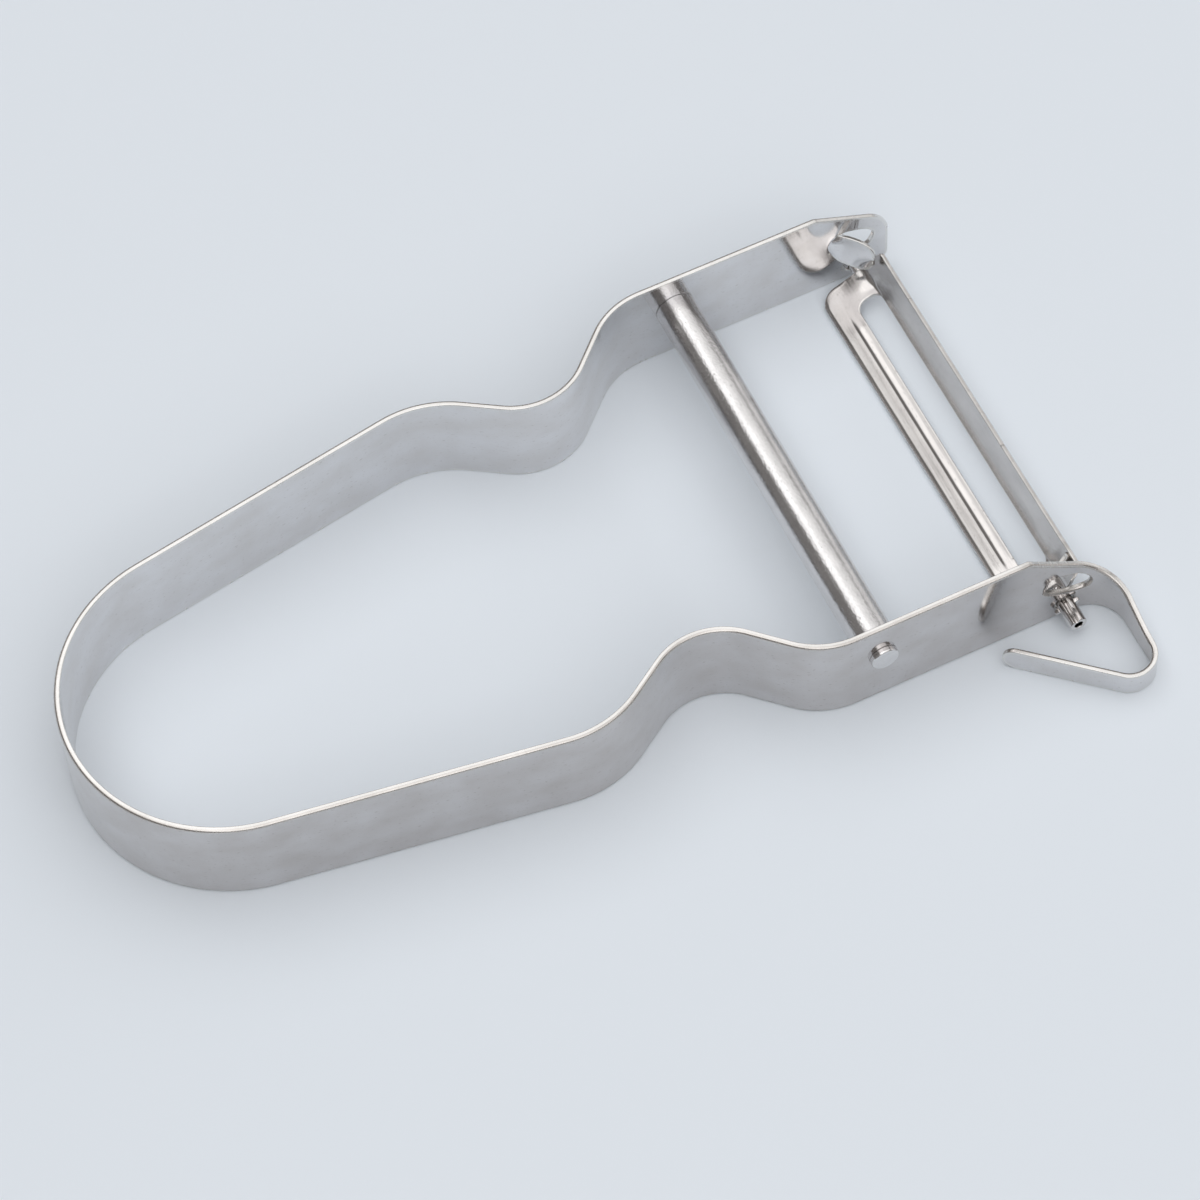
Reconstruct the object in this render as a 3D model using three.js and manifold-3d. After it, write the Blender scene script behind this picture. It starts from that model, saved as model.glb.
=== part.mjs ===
// A Y-shaped vegetable peeler of stainless steel, lying flat as it does on a table.
// One long steel strip, standing on its edge, is bent into the handle, the two arms and, past the
// near arm, the hook that takes out potato eyes. A riveted crossbar holds the arms apart, and a slotted
// blade pressed from thin sheet swings on its own two pins between the arm ends.
// Frame: millimetres, +Z up, the handle's butt at X = 0 on the resting plane, the head towards +X,
// and the hook on the -Y side.

import * as THREE from 'three';
import { mergeVertices } from 'three/addons/utils/BufferGeometryUtils.js';
import Module from 'manifold-3d';

const wasm = await Module();
wasm.setup();

// Strip that makes the whole frame
const stripWidth = 13;
const stripThickness = 0.7;

// Blade pivot in both arms, from which the head is laid out
const pivotX = 105.35;
const pivotZ = 2.2;
const pinRadius = 1.1;
const pinClearance = 0.1;

// Handle and arms, seen from above: corner points of the strip's middle line, and the bend radii there
const buttRadius = 18;
const armHalfWidth = 25.45;
const armLength = 30.25;       // from the arm's bend corner to the pivot
const headRadius = 9.2;
const waistToArm = 10.8;       // from the waist's corner forward to the arm's bend corner
const waistHalfWidth = 15;
const waistRadius = 8;
const shoulderToWaist = 13.2;
const shoulderHalfWidth = 23.6;
const shoulderRadius = 12.5;
const nearBendShift = 1.1;     // the near side's bends sit this much closer to the head

// Arm ends: the top edge falls from a break towards the end
const breakToPivot = 4.75;
const pivotToFarEnd = 4.55;
const farEndHeight = 8.6;
const armEndCornerRadius = 2.4;

// Hook past the near arm
const pivotToHookLeg = 5.6;
const hookBendRadius = 4.4;
const hookReach = 15.95;       // from the arm's middle out to the hook's corner
const hookCornerRadius = 2.85;
const hookBack = 14.6;         // from the hook's leg back to its tip
const hookTipGap = 2.9;        // from the arm's middle out to the tip
const hookHeight = 3.3;        // strip height along the hook's return leg
const hookFallLength = 18;     // the strip narrows to that height over this length past the break
const hookFallPower = 1.4;

// Stop tab lanced out of each arm, above the pivot
const tabToPivot = 0.15;
const tabRise = 4.35;          // from the pivot up to the tab's middle
const tabHalfLength = 2.95;
const tabHalfHeight = 1.9;
const tabRoot = 2.3;           // from the tab's middle back to its bend line
const tabTilt = 19;            // degrees the tab's long axis falls towards the end
const tabAngle = 38;           // degrees the tab is bent inwards
const tabKerf = 0.12;

// Crossbar: a sleeve between the arms, on one through rivet
const crossbarToPivot = 22.25;
const crossbarZ = 7.8;
const sleeveRadius = 2.36;
const rivetRadius = 1.35;
const rivetClearance = 0.1;
const rivetHeadRadius = 1.65;
const rivetHeadHeight = 0.5;
const rivetRimRadius = 0.2;

// Blade, in its own frame: u runs across the sheet from the pivot axis, towards the cutting limb
const bladeThickness = 0.55;
const bladeTilt = 20;        // degrees the flat part rises towards the head at rest
const guardReach = 5.2;      // from the pivot axis to the guard limb's free edge
const guardInnerEdge = 2.15; // from the pivot axis to the slot's edge on the guard limb
const flangeStart = 1;       // from the pivot axis to the bend of the cutting limb
const flangeAngle = 49;      // degrees the cutting limb is bent up
const flangeWidth = 3.85;
const flangeEndTaper = 0.9;  // the cutting limb's ends lean in by this much at its free edge
const bladeEndGap = 1.5;     // from the arm's inner face to the blade's shoulder
const guardCornerRadius = 2.2;
const flangeCornerRadius = 1;
const slotEndLand = 2.9;     // sheet left between the shoulder and the slot
const beadOffset = 3.65;     // from the pivot axis to the guard limb's bead
const beadHalfWidth = 0.5;
const beadHeight = 0.28;
const beadEndGap = 4.8;      // from the shoulder to the bead's end
const grooveShare = 0.7;     // the pressed groove under the bead, as a share of the bead
const slotCornerShare = 0.42;
const slotDepth = 1.3;       // cut far enough to give the cutting limb its edge
const neckOverlap = 1.2;     // the pins run this far into the sheet
const pinReach = 3.2;        // how far a pin stands out of its arm
const pinBoreRadius = 0.55;
const pinBoreDepth = 3;
const earReach = 0.55;       // how far the swaged ears stand out of the pin
const earLength = 0.7;
const earThickness = 0.8;
const earGap = 0.15;         // from the arm's outer face to the ears

// Rounding of curves
const arcStep = 7;       // degrees between points of an arc
const roundSides = 28;
const curveSides = 12;
const heightStep = 1.5;  // between points where the strip's height changes
const endSteps = 6;
const endShare = 0.98;   // of a rounded end's radius, so that its last face keeps some height
const rimSteps = 4;
const beadSteps = 6;

// Places that follow from the sizes
const headX = pivotX - armLength;
const waistX = headX - waistToArm;
const shoulderX = waistX - shoulderToWaist;
const breakX = pivotX - breakToPivot;
const farEndX = pivotX + pivotToFarEnd;
const hookLegX = pivotX + pivotToHookLeg;
const hookCornerY = -armHalfWidth - hookReach;
const hookTipX = hookLegX - hookBack;
const hookTipY = -armHalfWidth - hookTipGap;
const tabCentreX = pivotX - tabToPivot;
const tabCentreZ = pivotZ + tabRise;
const crossbarX = pivotX - crossbarToPivot;
const armInner = armHalfWidth - stripThickness / 2;
const armOuter = armHalfWidth + stripThickness / 2;
const radians = THREE.MathUtils.degToRad;

// A closed mesh becomes a solid that can be joined and cut, and goes back to a mesh.
function solidOf(geometry) {
  const bare = geometry.clone();
  bare.deleteAttribute('normal');
  bare.deleteAttribute('uv');
  const merged = mergeVertices(bare, 1e-5);
  const vertProperties = new Float32Array(merged.attributes.position.array);
  const triVerts = new Uint32Array(merged.index.array);
  return new wasm.Manifold(new wasm.Mesh({ numProp: 3, vertProperties, triVerts }));
}

function geometryOf(solid) {
  const mesh = solid.getMesh();
  const geometry = new THREE.BufferGeometry();
  geometry.setAttribute('position', new THREE.BufferAttribute(new Float32Array(mesh.vertProperties), 3));
  geometry.setIndex(new THREE.BufferAttribute(new Uint32Array(mesh.triVerts), 1));
  geometry.computeVertexNormals();
  return geometry;
}

// An arc as points, without its first point.
function arcPoints(centre, radius, from, to) {
  const steps = Math.max(2, Math.ceil(Math.abs(to - from) / radians(arcStep)));
  return Array.from({ length: steps }, (unused, i) => {
    const angle = from + ((to - from) * (i + 1)) / steps;
    return new THREE.Vector2(centre.x + radius * Math.cos(angle), centre.y + radius * Math.sin(angle));
  });
}

// Rounds the corner at `corner`, between the points before and after it.
function roundCorner(before, corner, after, radius) {
  const back = before.clone().sub(corner).normalize();
  const ahead = after.clone().sub(corner).normalize();
  const half = Math.acos(THREE.MathUtils.clamp(back.dot(ahead), -1, 1)) / 2;
  const centre = back.clone().add(ahead).normalize().multiplyScalar(radius / Math.sin(half)).add(corner);
  const start = corner.clone().addScaledVector(back, radius / Math.tan(half));
  const end = corner.clone().addScaledVector(ahead, radius / Math.tan(half));
  const from = Math.atan2(start.y - centre.y, start.x - centre.x);
  const sweep = Math.atan2(end.y - centre.y, end.x - centre.x) - from;
  const turn = Math.atan2(Math.sin(sweep), Math.cos(sweep));
  return [start, ...arcPoints(centre, radius, from, from + turn)];
}

// One side of the handle, from the butt's round end to the arm's last point, on the +Y side.
function sidePath(shift, armEnd) {
  const centre = new THREE.Vector2(buttRadius, 0);
  const shoulder = new THREE.Vector2(shoulderX + shift, shoulderHalfWidth);
  const waist = new THREE.Vector2(waistX + shift, waistHalfWidth);
  const head = new THREE.Vector2(headX + shift, armHalfWidth);
  const reach = shoulder.clone().sub(centre);
  const tangent = reach.angle() + Math.acos(buttRadius / reach.length());
  const leave = new THREE.Vector2(Math.cos(tangent), Math.sin(tangent)).multiplyScalar(buttRadius).add(centre);
  return [
    ...arcPoints(centre, buttRadius, Math.PI, tangent),
    ...roundCorner(leave, shoulder, waist, shoulderRadius),
    ...roundCorner(shoulder, waist, head, waistRadius),
    ...roundCorner(waist, head, armEnd, headRadius),
    armEnd,
  ];
}

// Points every few millimetres on the straight line between two points, without its first point.
function linePoints(from, to) {
  const steps = Math.ceil(from.distanceTo(to) / heightStep);
  return Array.from({ length: steps }, (unused, i) => from.clone().lerp(to, (i + 1) / steps));
}

// Points that close in on a rounded end, without the first point: sine steps keep the round smooth.
function endPoints(from, direction, reach) {
  return Array.from({ length: endSteps }, (unused, i) => {
    const part = Math.sin((Math.PI / 2) * ((i + 1) / endSteps));
    return from.clone().addScaledVector(direction, reach * endShare * part);
  });
}

// How far a rounded corner has drawn in, `into` millimetres past its start.
const drawIn = (radius, into) => radius - Math.sqrt(radius ** 2 - Math.min(Math.max(into, 0), radius) ** 2);

// The strip's middle line with its lowest and highest edge: far arm end, round the butt, near arm, hook.
function stripStations() {
  const plain = (p) => ({ x: p.x, y: p.y, low: 0, high: stripWidth });

  const farBreak = new THREE.Vector2(breakX, armHalfWidth);
  const farCorner = new THREE.Vector2(farEndX - armEndCornerRadius, armHalfWidth);
  const farFall = (stripWidth - farEndHeight) / (farEndX - breakX);
  const farEnd = [farCorner, ...endPoints(farCorner, new THREE.Vector2(1, 0), armEndCornerRadius)].map((p) => {
    const drop = drawIn(armEndCornerRadius, p.x - farCorner.x);
    return { x: p.x, y: p.y, low: drop, high: stripWidth - farFall * (p.x - breakX) - drop };
  });
  const far = [...sidePath(0, farBreak).map(plain), ...farEnd];

  const flip = (p) => new THREE.Vector2(p.x, -p.y);
  const nearBreak = flip(farBreak);
  const bend = new THREE.Vector2(hookLegX, -armHalfWidth);
  const corner = new THREE.Vector2(hookLegX, hookCornerY);
  const tip = new THREE.Vector2(hookTipX, hookTipY);
  const back = tip.clone().sub(corner).normalize();
  const tipRadius = hookHeight / 2;
  const tipStart = tip.clone().addScaledVector(back, -tipRadius);
  const bendArc = roundCorner(nearBreak, bend, corner, hookBendRadius);
  const cornerArc = roundCorner(bend, corner, tip, hookCornerRadius);
  const hook = [
    ...linePoints(nearBreak, bendArc[0]),
    ...bendArc.slice(1),
    ...linePoints(bendArc[bendArc.length - 1], cornerArc[0]),
    ...cornerArc.slice(1),
    tipStart,
    ...endPoints(tipStart, back, tipRadius),
  ];
  let travelled = 0;
  let previous = nearBreak;
  const hookStations = hook.map((p) => {
    travelled += previous.distanceTo(p);
    previous = p;
    const left = Math.max(0, 1 - travelled / hookFallLength) ** hookFallPower;
    const pastTipStart = travelled > hookFallLength ? p.clone().sub(tipStart).dot(back) : 0;
    const drop = drawIn(tipRadius, pastTipStart);
    return { x: p.x, y: p.y, low: drop, high: hookHeight + (stripWidth - hookHeight) * left - drop };
  });
  const near = sidePath(nearBendShift, farBreak).map(flip).map(plain);
  return [...far.reverse(), plain(new THREE.Vector2(0, 0)), ...near, ...hookStations];
}

// A strip standing on edge along its stations: four corners at each, walls between, and two end caps.
function ribbonGeometry(stations, thickness) {
  const positions = [];
  const index = [];
  stations.forEach((here, i) => {
    const before = stations[Math.max(0, i - 1)];
    const after = stations[Math.min(stations.length - 1, i + 1)];
    const ahead = new THREE.Vector2(after.x - here.x, after.y - here.y).normalize();
    const behind = new THREE.Vector2(here.x - before.x, here.y - before.y).normalize();
    const along = ahead.clone().add(behind).normalize();
    const spread = thickness / 2 / Math.max(along.dot(ahead), along.dot(behind));
    const side = new THREE.Vector2(-along.y, along.x).multiplyScalar(spread);
    positions.push(here.x + side.x, here.y + side.y, here.low);
    positions.push(here.x - side.x, here.y - side.y, here.low);
    positions.push(here.x - side.x, here.y - side.y, here.high);
    positions.push(here.x + side.x, here.y + side.y, here.high);
  });
  const corners = 4;
  for (let i = 0; i + 1 < stations.length; i += 1) {
    for (let k = 0; k < corners; k += 1) {
      const a = i * corners + k;
      const b = i * corners + ((k + 1) % corners);
      index.push(a, a + corners, b, b, a + corners, b + corners);
    }
  }
  const last = (stations.length - 1) * corners;
  index.push(0, 1, 2, 0, 2, 3);
  index.push(last, last + 2, last + 1, last, last + 3, last + 2);
  const geometry = new THREE.BufferGeometry();
  geometry.setAttribute('position', new THREE.Float32BufferAttribute(positions, 3));
  geometry.setIndex(index);
  return geometry;
}

// A round bar along Y, centred on its own axis.
function barAlongY(radius, fromY, toY) {
  const bar = new THREE.CylinderGeometry(radius, radius, toY - fromY, roundSides);
  return bar.translate(0, (fromY + toY) / 2, 0);
}

// An outline of revolution about the Y axis, given as [radius, y] pairs.
function turned(profile) {
  return new THREE.LatheGeometry(profile.map(([radius, y]) => new THREE.Vector2(radius, y)), roundSides);
}

// A flat plate drawn in local X and Y, with its thickness centred on Z.
function plate(shape, thickness) {
  const options = { depth: thickness, bevelEnabled: false, curveSegments: curveSides };
  return new THREE.ExtrudeGeometry(shape, options).translate(0, 0, -thickness / 2);
}

// The oval of a stop tab, cut off straight at its bend line, which lies at local X = 0.
function tabOval(halfLength, halfHeight) {
  const rootAngle = Math.acos(-tabRoot / halfLength);
  const shape = new THREE.Shape();
  shape.absellipse(tabRoot, 0, halfLength, halfHeight, -rootAngle, rootAngle, false, 0);
  shape.closePath();
  return shape;
}

// Moves something drawn in the tab's frame to its place in one arm: local Z points towards -Y.
function toArm(geometry, side) {
  const rootX = tabCentreX - tabRoot * Math.cos(radians(tabTilt));
  const rootZ = tabCentreZ + tabRoot * Math.sin(radians(tabTilt));
  return geometry.rotateZ(radians(-tabTilt)).rotateX(Math.PI / 2).translate(rootX, side * armHalfWidth, rootZ);
}

// The frame: the bent strip with its rivet holes, pivot holes and two lanced stop tabs.
function frameStrip() {
  let frame = solidOf(ribbonGeometry(stripStations(), stripThickness));
  const through = armOuter + stripThickness;
  const rivetHole = barAlongY(rivetRadius + rivetClearance, -through, through).translate(crossbarX, 0, crossbarZ);
  const pivotHole = barAlongY(pinRadius + pinClearance, -through, through).translate(pivotX, 0, pivotZ);
  frame = frame.subtract(solidOf(rivetHole)).subtract(solidOf(pivotHole));
  for (const side of [1, -1]) {
    const window = plate(tabOval(tabHalfLength, tabHalfHeight), 3 * stripThickness);
    frame = frame.subtract(solidOf(toArm(window, side)));
    const tab = plate(tabOval(tabHalfLength - tabKerf, tabHalfHeight - tabKerf), stripThickness);
    tab.rotateY(-side * radians(tabAngle));
    const rootHeight = 2 * (tabHalfHeight - tabKerf) * Math.sqrt(1 - (tabRoot / (tabHalfLength - tabKerf)) ** 2);
    const elbow = new THREE.CylinderGeometry(stripThickness / 2, stripThickness / 2, rootHeight, roundSides);
    frame = frame.add(solidOf(toArm(tab, side))).add(solidOf(toArm(elbow, side)));
  }
  return geometryOf(frame);
}

// The crossbar's sleeve: a plain tube between the arms.
function tubeAlongY(outer, inner, fromY, toY) {
  return turned([[inner, fromY], [outer, fromY], [outer, toY], [inner, toY], [inner, fromY]]);
}

// The through rivet: a plain shank with a low head, rounded at its rim, outside each arm.
function rivetGeometry() {
  const rim = rivetRimRadius;
  const top = armOuter + rivetHeadHeight;
  const half = [[0, top], [rivetHeadRadius - rim, top]];
  for (let i = 1; i <= rimSteps; i += 1) {
    const angle = (Math.PI / 2) * (i / rimSteps);
    half.push([rivetHeadRadius - rim + rim * Math.sin(angle), top - rim + rim * Math.cos(angle)]);
  }
  half.push([rivetHeadRadius, armOuter], [rivetRadius, armOuter]);
  const mirrored = half.map(([radius, y]) => [radius, -y]);
  return turned([...mirrored, ...half.reverse()]);
}

// A rectangle from x0 to x1 and -halfLength to halfLength, with the corners on one side rounded and
// drawn in by `lean` there.
function limbShape(x0, x1, halfLength, radius, lean) {
  const sign = Math.sign(x1 - x0);
  const shape = new THREE.Shape();
  const tip = halfLength - lean;
  shape.moveTo(x0, -halfLength);
  shape.lineTo(x1 - sign * radius, -tip - (lean * radius) / Math.abs(x1 - x0));
  shape.quadraticCurveTo(x1, -tip, x1, -tip + radius);
  shape.lineTo(x1, tip - radius);
  shape.quadraticCurveTo(x1, tip, x1 - sign * radius, tip + (lean * radius) / Math.abs(x1 - x0));
  shape.lineTo(x0, halfLength);
  shape.closePath();
  return shape;
}

// The slot that the peel passes through: a rounded rectangle.
function slotShape(halfLength) {
  const x0 = -guardInnerEdge;
  const x1 = flangeStart;
  const radius = (x1 - x0) * slotCornerShare;
  const shape = new THREE.Shape();
  shape.moveTo(x0 + radius, -halfLength);
  shape.lineTo(x1 - radius, -halfLength);
  shape.quadraticCurveTo(x1, -halfLength, x1, -halfLength + radius);
  shape.lineTo(x1, halfLength - radius);
  shape.quadraticCurveTo(x1, halfLength, x1 - radius, halfLength);
  shape.lineTo(x0 + radius, halfLength);
  shape.quadraticCurveTo(x0, halfLength, x0, halfLength - radius);
  shape.lineTo(x0, -halfLength + radius);
  shape.quadraticCurveTo(x0, -halfLength, x0 + radius, -halfLength);
  return shape;
}

// The blade about its pivot axis: guard limb with its bead, slot, bent-up cutting limb, and a pin at each end.
function bladeGeometry() {
  const halfLength = armInner - bladeEndGap;
  const flat = plate(limbShape(flangeStart, -guardReach, halfLength, guardCornerRadius, 0), bladeThickness);
  const flange = plate(limbShape(0, flangeWidth, halfLength, flangeCornerRadius, flangeEndTaper), bladeThickness);
  flange.rotateY(-radians(flangeAngle)).translate(flangeStart, 0, 0);
  const elbow = barAlongY(bladeThickness / 2, -halfLength, halfLength).translate(flangeStart, 0, 0);
  let blade = solidOf(flat).add(solidOf(flange)).add(solidOf(elbow));

  const beadLength = 2 * (halfLength - beadEndGap);
  const bead = new THREE.CapsuleGeometry(beadHalfWidth, beadLength, beadSteps, 2 * beadSteps);
  bead.scale(1, 1, beadHeight / beadHalfWidth);
  const groove = bead.clone().scale(grooveShare, 1, grooveShare).translate(-beadOffset, 0, -bladeThickness / 2);
  bead.translate(-beadOffset, 0, bladeThickness / 2);
  blade = blade.add(solidOf(bead)).subtract(solidOf(groove));

  const slotHalf = halfLength - slotEndLand;
  blade = blade.subtract(solidOf(plate(slotShape(slotHalf), slotDepth)));
  for (const side of [1, -1]) {
    const along = (geometry) => (side > 0 ? geometry : geometry.rotateX(Math.PI));
    const pinEnd = armOuter + pinReach;
    const pin = barAlongY(pinRadius, halfLength - neckOverlap, pinEnd);
    const funnelLength = slotEndLand - neckOverlap;
    const funnel = new THREE.CylinderGeometry(pinRadius, bladeThickness / 2, funnelLength, roundSides);
    funnel.translate(0, halfLength - neckOverlap / 2 - funnelLength / 2, 0);
    const earY = armOuter + earGap + earLength / 2;
    const ears = new THREE.BoxGeometry(2 * (pinRadius + earReach), earLength, earThickness).translate(0, earY, 0);
    const bore = barAlongY(pinBoreRadius, pinEnd - pinBoreDepth, pinEnd + pinBoreDepth);
    for (const piece of [pin, funnel, ears]) blade = blade.add(solidOf(along(piece)));
    blade = blade.subtract(solidOf(along(bore)));
  }
  return geometryOf(blade);
}

// Finishes
const satinSteel = new THREE.MeshStandardMaterial({ color: 0xb6b7bb, roughness: 0.32, metalness: 1 });
const sleeveSteel = new THREE.MeshStandardMaterial({ color: 0xbcbcc0, roughness: 0.3, metalness: 1 });
const bladeSteel = new THREE.MeshStandardMaterial({ color: 0xc6c2c0, roughness: 0.2, metalness: 1 });
const rivetSteel = new THREE.MeshStandardMaterial({ color: 0xc4c4c8, roughness: 0.22, metalness: 1 });

function named(name, geometry, material) {
  const mesh = new THREE.Mesh(geometry, material);
  mesh.name = name;
  return mesh;
}

const peeler = new THREE.Group();
peeler.add(named('frame_strip', frameStrip(), satinSteel));

const crossbar = new THREE.Group();
crossbar.position.set(crossbarX, 0, crossbarZ);
const sleeve = tubeAlongY(sleeveRadius, rivetRadius + rivetClearance, -armInner, armInner);
crossbar.add(named('crossbar_sleeve', sleeve, sleeveSteel));
crossbar.add(named('crossbar_rivet', rivetGeometry(), rivetSteel));
peeler.add(crossbar);

const swivel = new THREE.Group();
swivel.position.set(pivotX, 0, pivotZ);
swivel.rotation.y = -radians(bladeTilt);
swivel.add(named('swivel_blade', bladeGeometry(), bladeSteel));
peeler.add(swivel);

export default peeler;
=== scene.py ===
# %% [markdown]
# # A steel vegetable peeler
# One long steel strip, standing on its edge, is bent into the handle, two arms and a hook. A crossbar holds
# the arms apart, and a thin slotted blade swings between their ends on its own two pins.
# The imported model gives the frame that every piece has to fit. It is loaded first, and its box is kept, so
# that the finished pieces can be measured against it.

# %% Load the frame
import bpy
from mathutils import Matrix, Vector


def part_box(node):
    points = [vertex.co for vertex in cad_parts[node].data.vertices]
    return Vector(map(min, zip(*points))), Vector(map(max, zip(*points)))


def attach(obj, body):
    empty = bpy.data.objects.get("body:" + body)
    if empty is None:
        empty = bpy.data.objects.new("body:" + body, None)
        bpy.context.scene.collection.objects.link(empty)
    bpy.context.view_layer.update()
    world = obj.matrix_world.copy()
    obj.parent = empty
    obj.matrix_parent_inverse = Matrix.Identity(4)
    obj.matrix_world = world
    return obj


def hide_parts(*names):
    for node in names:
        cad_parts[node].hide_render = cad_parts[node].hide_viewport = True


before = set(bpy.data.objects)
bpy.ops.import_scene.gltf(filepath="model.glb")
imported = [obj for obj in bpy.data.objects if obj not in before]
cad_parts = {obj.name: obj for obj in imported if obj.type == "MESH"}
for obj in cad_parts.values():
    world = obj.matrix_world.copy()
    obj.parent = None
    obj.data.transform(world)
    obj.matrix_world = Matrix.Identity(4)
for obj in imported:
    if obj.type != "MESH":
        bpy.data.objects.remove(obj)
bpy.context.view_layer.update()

import math
import bpy
import numpy as np
from types import SimpleNamespace

MM = 0.001

# %% [markdown]
# ## Camera
# The photograph was taken from about 58 degrees above the table with a long lens. Placing the camera by eye
# would never bring all the edges together, so its place was worked out from the strip's edges, which are
# flat curves at two known heights. The picture is square, so the sensor's width alone sets the lens.

# %% Camera
camera_data = bpy.data.cameras.new("photo_camera")
camera_data.sensor_width = 36
camera_data.lens = 147.617
camera = bpy.data.objects.new("photo_camera", camera_data)
camera.location = (-0.045234, -0.266083, 0.459269)
camera.rotation_euler = [math.radians(angle) for angle in (31.7663, 2.2644, -25.4805)]
bpy.context.collection.objects.link(camera)
bpy.context.scene.camera = camera
print("camera lens", camera_data.lens)

# %% [markdown]
# ## Floor and light
# Polished steel is mostly a picture of what is around it. The flat walls mirror the table, and everything
# that faces up mirrors the light. The crossbar shows what that light was: brightest just left of overhead,
# fading slowly to the right, and soon dark on the left. One even sky would lose that dark band, so the light
# is a bright panel overhead, paler ones beside it, a still paler wall of light on the right, and one in front
# for the table.

# %% Floor
FLOOR_HALF, FLOOR_HEIGHT = 2.5, -0.00003

def flat_square(name, half, height):
    """A level square: its corners are plus and minus half of its side, at one height."""
    corners = [(-half, -half, height), (half, -half, height), (half, half, height), (-half, half, height)]
    mesh = bpy.data.meshes.new(name)
    mesh.from_pydata(corners, [], [(0, 1, 2, 3)])
    square = bpy.data.objects.new(name, mesh)
    bpy.context.collection.objects.link(square)
    return square

floor = flat_square("floor", FLOOR_HALF, FLOOR_HEIGHT)
floor_paint = bpy.data.materials.new("pale_floor_paint")
floor_paint.use_nodes = True
floor_shader = floor_paint.node_tree.nodes["Principled BSDF"]
floor_shader.inputs["Base Color"].default_value = (0.79, 0.845, 0.905, 1)
floor_shader.inputs["Roughness"].default_value = 0.85
floor_shader.inputs["Specular IOR Level"].default_value = 0.1
floor.data.materials.append(floor_paint)
print("floor", tuple(floor.dimensions))

# %% Lights
CEILING, ASIDE = 1.6, 0.001

def soft_panel(name, place, aim, width, depth, radiance):
    """A rectangular lamp at `place` that faces `aim`. Its power is its radiance times pi times its area."""
    lamp = bpy.data.lights.new(name, "AREA")
    lamp.shape = "RECTANGLE"
    lamp.size = width
    lamp.size_y = depth
    lamp.energy = radiance * math.pi * width * depth
    panel = bpy.data.objects.new(name, lamp)
    panel.location = place
    way = np.array(aim) - np.array(place)
    way = way / np.linalg.norm(way)
    panel.rotation_euler = (math.acos(-way[2]), 0, math.atan2(way[1], way[0]) - math.pi / 2)
    bpy.context.collection.objects.link(panel)
    return lamp.energy

def ceiling_panel(name, x, y, width, depth, radiance):
    """A soft panel that faces down. Its aim is a hair aside, so that its long side has a direction."""
    return soft_panel(name, (x, y, CEILING), (x, y - ASIDE, 0), width, depth, radiance)

powers = [ceiling_panel("top_panel", -0.315, -0.1, 0.87, 3.6, 1.38),
          ceiling_panel("left_fade", -0.88, -0.1, 0.26, 3.6, 0.8),
          ceiling_panel("right_fade", 0.46, 0.0, 0.68, 3.8, 0.97),
          ceiling_panel("top_right_panel", 1.35, 0.0, 1.1, 3.8, 0.72),
          soft_panel("right_wall", (2.3, 0.4, 0.85), (0, 0.4, 0.85), 3.0, 1.2, 0.65),
          soft_panel("front_panel", (0.05, -2.0, 1.4), (0.05, 0, 0), 2.6, 0.9, 0.95)]
world = bpy.data.worlds.new("studio_room")
bpy.context.scene.world = world
world.use_nodes = True
world.node_tree.nodes["Background"].inputs["Color"].default_value = (0.23, 0.22, 0.215, 1)
bpy.context.scene.view_settings.view_transform = "Standard"
print("lamp powers", [round(power, 2) for power in powers])

# %% [markdown]
# ## From arrays to a mesh
# Every piece below is worked out as whole arrays of points, faces and normals. This helper puts them into a
# Blender mesh. The normals come from the formulas, so flat faces stay flat right up to their rounded edges.
# The `grain` map holds two lengths for each point, along and across the piece, for the finishes to follow.

# %% Mesh helper
GRAIN_UNIT = 0.01  # one unit of the map is 100 mm

def make_piece(name, points, normals, grain, blocks, materials, face_material=None):
    """Puts arrays into a mesh: points in millimetres become metres, and the blocks of faces, each an array of
    quads or of triangles, become one list."""
    mesh = bpy.data.meshes.new(name)
    mesh.from_pydata((points * MM).tolist(), [], [face for block in blocks for face in block.tolist()])
    corner_point = np.empty(len(mesh.loops), dtype=np.int32)
    mesh.loops.foreach_get("vertex_index", corner_point)
    layer = mesh.uv_layers.new(name="grain")
    layer.data.foreach_set("uv", (grain[corner_point] * GRAIN_UNIT).astype(np.float32).ravel())
    mesh.polygons.foreach_set("use_smooth", np.ones(len(mesh.polygons), dtype=bool))
    if face_material is not None:
        mesh.polygons.foreach_set("material_index", np.asarray(face_material, dtype=np.int32))
    mesh.normals_split_custom_set_from_vertices(normals.tolist())
    for material in materials:
        mesh.materials.append(material)
    mesh.update()
    piece = bpy.data.objects.new(name, mesh)
    bpy.context.collection.objects.link(piece)
    print(name, len(points), "points", len(mesh.polygons), "faces")
    return piece

# %% [markdown]
# ## Thickness and edges
# Sheet metal is a surface with a small thickness, and what shows that it is metal is its edge: a thin bright
# line with rounded corners. Solidify and Bevel could make one, but the bevel would be clamped by the smallest
# detail anywhere on the sheet. Here the edge is made from arrays. A rim edge is one that only one face uses.
# The way out of the sheet there is the rim's direction crossed with the surface normal, and a small rounded
# profile is carried along all the rims at once.

# %% Rounded edge
def unit(vectors):
    """Each row divided by its own length."""
    return vectors / np.maximum(np.linalg.norm(vectors, axis=-1, keepdims=True), 1e-12)

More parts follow.
